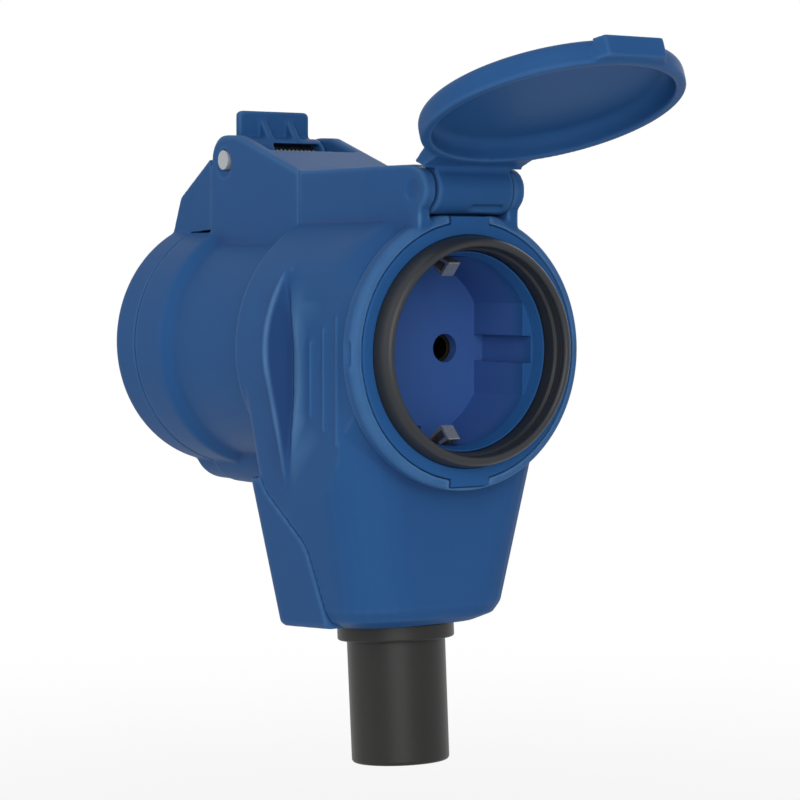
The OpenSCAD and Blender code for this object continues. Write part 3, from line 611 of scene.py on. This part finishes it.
class COUPLER_OT_boot(bpy.types.Operator):
    """Finishes the cable boot"""
    bl_idname = "coupler.boot"
    bl_label = "Cable boot"
    bl_options = {"REGISTER", "UNDO"}

    def execute(self, context):
        finish = context.scene.coupler_finish
        paint(rubber("boot_rubber", finish.boot, rough=0.4, gloss=0.28), "cable_boot")
        return {"FINISHED"}


class COUPLER_OT_metal(bpy.types.Operator):
    """Finishes pins, spring, screws, sleeves and busbars"""
    bl_idname = "coupler.metal"
    bl_label = "Metal parts"
    bl_options = {"REGISTER", "UNDO"}

    def execute(self, context):
        finish = context.scene.coupler_finish
        paint(metal("plated_steel", finish.plated, rough=0.28), "outlet_lid_pin",
              "housing_screws", "carrier_screws", "terminal_screws", "clamp_screws")
        paint(metal("spring_steel", finish.spring, rough=0.32), "rear_lid_spring")
        paint(metal("pale_pin", finish.pin, rough=0.4, metallic=0.2), "rear_lid_pin")
        paint(metal("bright_brass", finish.brass, rough=0.26), "line_sleeve", "neutral_sleeve",
              "earth_sleeve", "line_busbar", "neutral_busbar", "earth_busbar")
        return {"FINISHED"}


class COUPLER_OT_inside(bpy.types.Operator):
    """Finishes the carrier, the cord clamp and the hidden seals"""
    bl_idname = "coupler.inside"
    bl_label = "Inner parts"
    bl_options = {"REGISTER", "UNDO"}

    def execute(self, context):
        finish = context.scene.coupler_finish
        paint(moulded("carrier_grey", finish.carrier, rough=0.42, edge=0.3 * MM),
              "contact_carrier", "cord_clamp")
        paint(rubber("gasket_rubber", finish.seal, rough=0.55, gloss=0.25),
              "rear_lid_gasket", "coupling_seal")
        return {"FINISHED"}


def camera_axes():
    """Right, up and back of the photograph's camera."""
    turn, tilt = math.radians(CAMERA_TURN), math.radians(CAMERA_TILT)
    back = Vector((math.sin(turn) * math.cos(tilt), -math.cos(turn) * math.cos(tilt),
                   math.sin(tilt)))
    right = Vector((math.cos(turn), math.sin(turn), 0))
    return right, back.cross(right), back


def from_axes(axes, offset):
    """Step along the camera's axes by an offset to its right, up and back."""
    right, up, back = axes
    return right * offset[0] + up * offset[1] + back * offset[2]


def lamp(name, power, size, place):
    """Large soft area light that looks at the coupler."""
    data = bpy.data.lights.new(name, "AREA")
    data.energy = power
    data.shape = "DISK"
    data.size = size
    thing = bpy.data.objects.new(name, data)
    thing.location = place
    thing.rotation_euler = (LIT_POINT - place).to_track_quat("-Z", "Y").to_euler()
    bpy.context.scene.collection.objects.link(thing)


def photo_camera(axes):
    """The photograph's camera, made the scene's own."""
    data = bpy.data.cameras.new("photo_camera")
    data.lens = CAMERA_LENS
    data.sensor_width = CAMERA_SENSOR
    data.clip_start, data.clip_end = CAMERA_CLIP
    camera = bpy.data.objects.new("photo_camera", data)
    turn = Matrix(axes).transposed().to_4x4()
    camera.matrix_world = Matrix.Translation(from_axes(axes, CAMERA_OFFSET) * MM) @ turn
    bpy.context.scene.collection.objects.link(camera)
    bpy.context.scene.camera = camera


def seen_plainly(tree):
    """One on rays from the camera, also where metal or glass has sent them on, else nothing."""
    path = tree.nodes.new("ShaderNodeLightPath")
    straight = Wire(tree, path.outputs["Is Camera Ray"])
    mirrored = Wire(tree, path.outputs["Is Glossy Ray"])
    passed = Wire(tree, path.outputs["Is Transmission Ray"])
    return straight + mirrored + passed


def floor_finish():
    """Pale floor that keeps a soft shadow near the coupler and fades to white away from it."""
    finish = Finish("pale_floor")
    tree = finish.tree
    cloud = finish.noise(0.6)
    finish.set(Base_Color=finish.mix(cloud, *FLOOR_GREYS), Roughness=0.9, Specular_IOR_Level=0.0)
    away = finish.node("ShaderNodeVectorMath", {"operation": "LENGTH"},
                       {"Vector": finish.place}, "Value")
    fade = finish.ramp(away, *FLOOR_FADE, To_Min=FLOOR_WHITE[0], To_Max=FLOOR_WHITE[1])
    glow = tree.nodes.new("ShaderNodeEmission")
    glow.inputs["Strength"].default_value = 1.0
    mix = tree.nodes.new("ShaderNodeMixShader")
    tree.links.new((seen_plainly(tree) * fade).socket, mix.inputs[0])
    tree.links.new(finish.shader.outputs[0], mix.inputs[1])
    tree.links.new(glow.outputs[0], mix.inputs[2])
    tree.links.new(mix.outputs[0], tree.nodes["Material Output"].inputs["Surface"])
    return finish.material


def surround(strength):
    """White for the camera, even soft light for everything else."""
    world = bpy.data.worlds.new("studio")
    bpy.context.scene.world = world
    world.use_nodes = True
    tree = world.node_tree
    back = tree.nodes["Background"]
    level = strength + seen_plainly(tree) * (1.0 - strength)
    back.inputs["Color"].default_value = (1, 1, 1, 1)
    tree.links.new(level.socket, back.inputs["Strength"])


class COUPLER_OT_stage(bpy.types.Operator):
    """Adds the floor, the lights, the white surround and the photograph's camera"""
    bl_idname = "coupler.stage"
    bl_label = "Stage"
    bl_options = {"REGISTER", "UNDO"}

    def execute(self, context):
        stage = context.scene.coupler_stage
        deselect()
        bpy.ops.mesh.primitive_plane_add(
            size=FLOOR_SIZE, location=(0, 0, CAD_BOX[0][2] - stage.floor_drop))
        floor = bpy.context.object
        floor.name = "floor"
        floor.data.materials.append(floor_finish())
        surround(stage.sky)
        axes = camera_axes()
        for name, (size, offset) in LAMPS.items():
            lamp(name, getattr(stage, name), size, LIT_POINT + from_axes(axes, offset))
        photo_camera(axes)
        context.scene.view_settings.view_transform = "Standard"
        return {"FINISHED"}


class VIEW3D_PT_coupler(bpy.types.Panel):
    """Lists the coupler's settings and operators"""
    bl_label = "Coupler"
    bl_idname = "VIEW3D_PT_coupler"
    bl_space_type = "VIEW_3D"
    bl_region_type = "UI"
    bl_category = "Coupler"

    def draw(self, context):
        for group in GROUPS:
            settings = getattr(context.scene, group)
            for name in settings.__annotations__:
                self.layout.prop(settings, name)
        for operator in OPERATORS:
            self.layout.operator(operator.bl_idname)


GROUPS = {
    "coupler_finish": CouplerFinish,
    "coupler_form": CouplerForm,
    "coupler_stage": CouplerStage,
}
OPERATORS = (COUPLER_OT_housings, COUPLER_OT_outlet, COUPLER_OT_boot, COUPLER_OT_metal,
             COUPLER_OT_inside, COUPLER_OT_stage)
CLASSES = (*GROUPS.values(), *OPERATORS, VIEW3D_PT_coupler)


def register():
    for kind in CLASSES:
        bpy.utils.register_class(kind)
    for group, kind in GROUPS.items():
        setattr(bpy.types.Scene, group, bpy.props.PointerProperty(type=kind))


def unregister():
    for group in GROUPS:
        delattr(bpy.types.Scene, group)
    for kind in reversed(CLASSES):
        bpy.utils.unregister_class(kind)


def main():
    register()
    bpy.ops.coupler.housings()
    bpy.ops.coupler.outlet()
    bpy.ops.coupler.boot()
    bpy.ops.coupler.metal()
    bpy.ops.coupler.inside()
    bpy.ops.coupler.stage()


if __name__ == "__main__":
    main()
